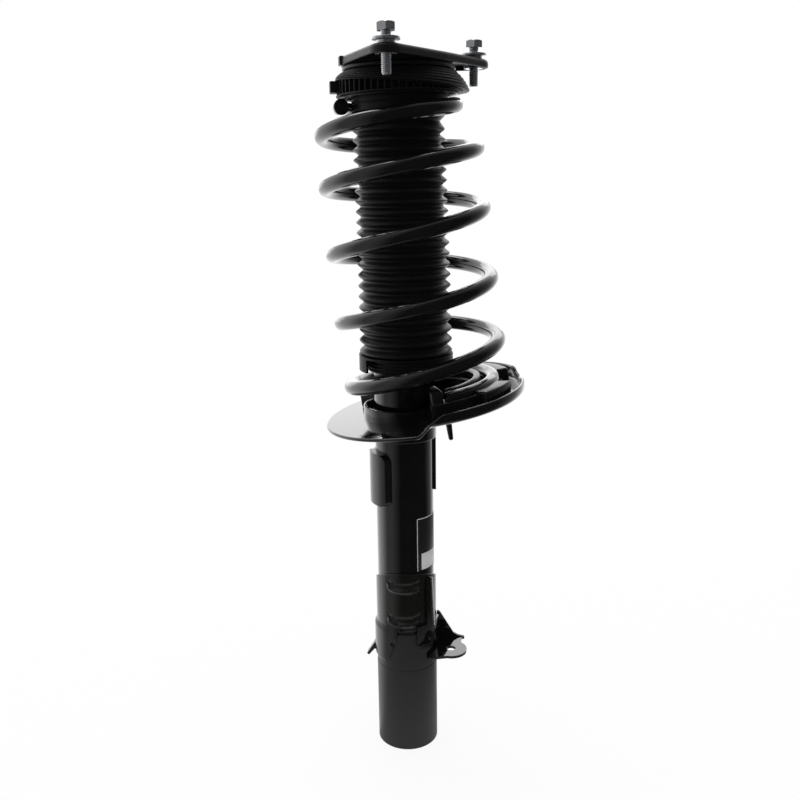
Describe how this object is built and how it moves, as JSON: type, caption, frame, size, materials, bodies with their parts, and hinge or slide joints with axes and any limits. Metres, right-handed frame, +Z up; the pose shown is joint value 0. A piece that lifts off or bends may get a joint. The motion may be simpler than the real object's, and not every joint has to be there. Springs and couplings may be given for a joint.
{
  "type": "suspension strut assembly",
  "caption": "Front suspension strut with a coil spring on tilted seats, dust boot, strut bearing, top mount plate with bolts, and brackets on the damper tube.",
  "frame": {"origin": "centre of the foot of the clamp sleeve, on the strut axis", "axes": "+Z up the strut axis towards the top mount, +X towards the raised wide side of the lower spring seat, -Y towards the side with the beads of the knuckle band and the first tower bolt"},
  "size_m": [0.1728, 0.174, 0.6192],
  "materials": {
    "gloss_black_paint": "gloss black paint over pressed steel",
    "satin_grey_paint": "satin dark grey coating",
    "bare_steel": "plain steel, satin",
    "sintered_metal": "matt sintered metal",
    "bush_liner": "matt bearing liner",
    "seal_rubber": "matt black",
    "pad_rubber": "satin black",
    "spring_coating": "satin to gloss black powder coating",
    "black_plastic": "satin black moulded plastic",
    "boot_rubber": "matt black, folded",
    "bearing_steel": "ground",
    "cage_plastic": "natural plastic",
    "mount_paint": "satin black paint",
    "zinc_plating": "bright bluish zinc plating",
    "bump_foam": "cellular foam, matt",
    "rod_chrome": "hard chrome, polished",
    "stop_plastic": "matt"
  },
  "bodies": {
    "strut_body": {"reserve_tube": "gloss_black_paint", "clamp_sleeve": "satin_grey_paint", "end_plug": "gloss_black_paint", "pressure_tube": "bare_steel", "base_valve": "sintered_metal", "rod_guide": "sintered_metal", "guide_bush": "bush_liner", "rod_seal": "seal_rubber", "tube_cap": "bare_steel", "knuckle_band": "gloss_black_paint", "locating_tab": "gloss_black_paint", "hose_bracket": "gloss_black_paint", "link_bracket": "gloss_black_paint", "lower_spring_seat": "gloss_black_paint", "seat_insulator": "pad_rubber", "coil_spring": "spring_coating", "boot_collar": "black_plastic", "dust_boot": "boot_rubber"},
    "upper_seat": {"upper_spring_seat": "black_plastic", "upper_insulator": "pad_rubber", "bearing_housing": "black_plastic", "bearing_lower_race": "bearing_steel", "ball_cage": "cage_plastic", "bearing_balls": "bearing_steel"},
    "top_mount": {"bearing_upper_race": "bearing_steel", "mount_cup": "gloss_black_paint", "mount_rubber": "pad_rubber", "mount_sleeve": "bare_steel", "mount_plate": "mount_paint", "rebound_washer": "bare_steel", "rod_nut": "zinc_plating", "weld_nuts": "bare_steel", "tower_bolts": "zinc_plating", "bolt_washers": "zinc_plating", "bump_stop": "bump_foam", "bump_stop_cup": "black_plastic", "piston_rod": "rod_chrome", "piston": "sintered_metal", "piston_band": "bush_liner", "piston_nut": "bare_steel", "rebound_stop": "stop_plastic"}
  },
  "joints": [
    {"name": "damper_stroke", "type": "slide", "parent": "strut_body", "child": "upper_seat", "axis": [0, 0, 1], "range_m": [-0.12, 0], "stiffness_N_per_m": 25000, "springref_m": 0.03, "deforming": ["coil_spring", "dust_boot"]},
    {"name": "steer_bearing", "type": "hinge", "parent": "upper_seat", "child": "top_mount", "pos_m": [0, 0, 0.5925], "axis": [0, 0, 1], "range_deg": [-40, 40]}
  ]
}
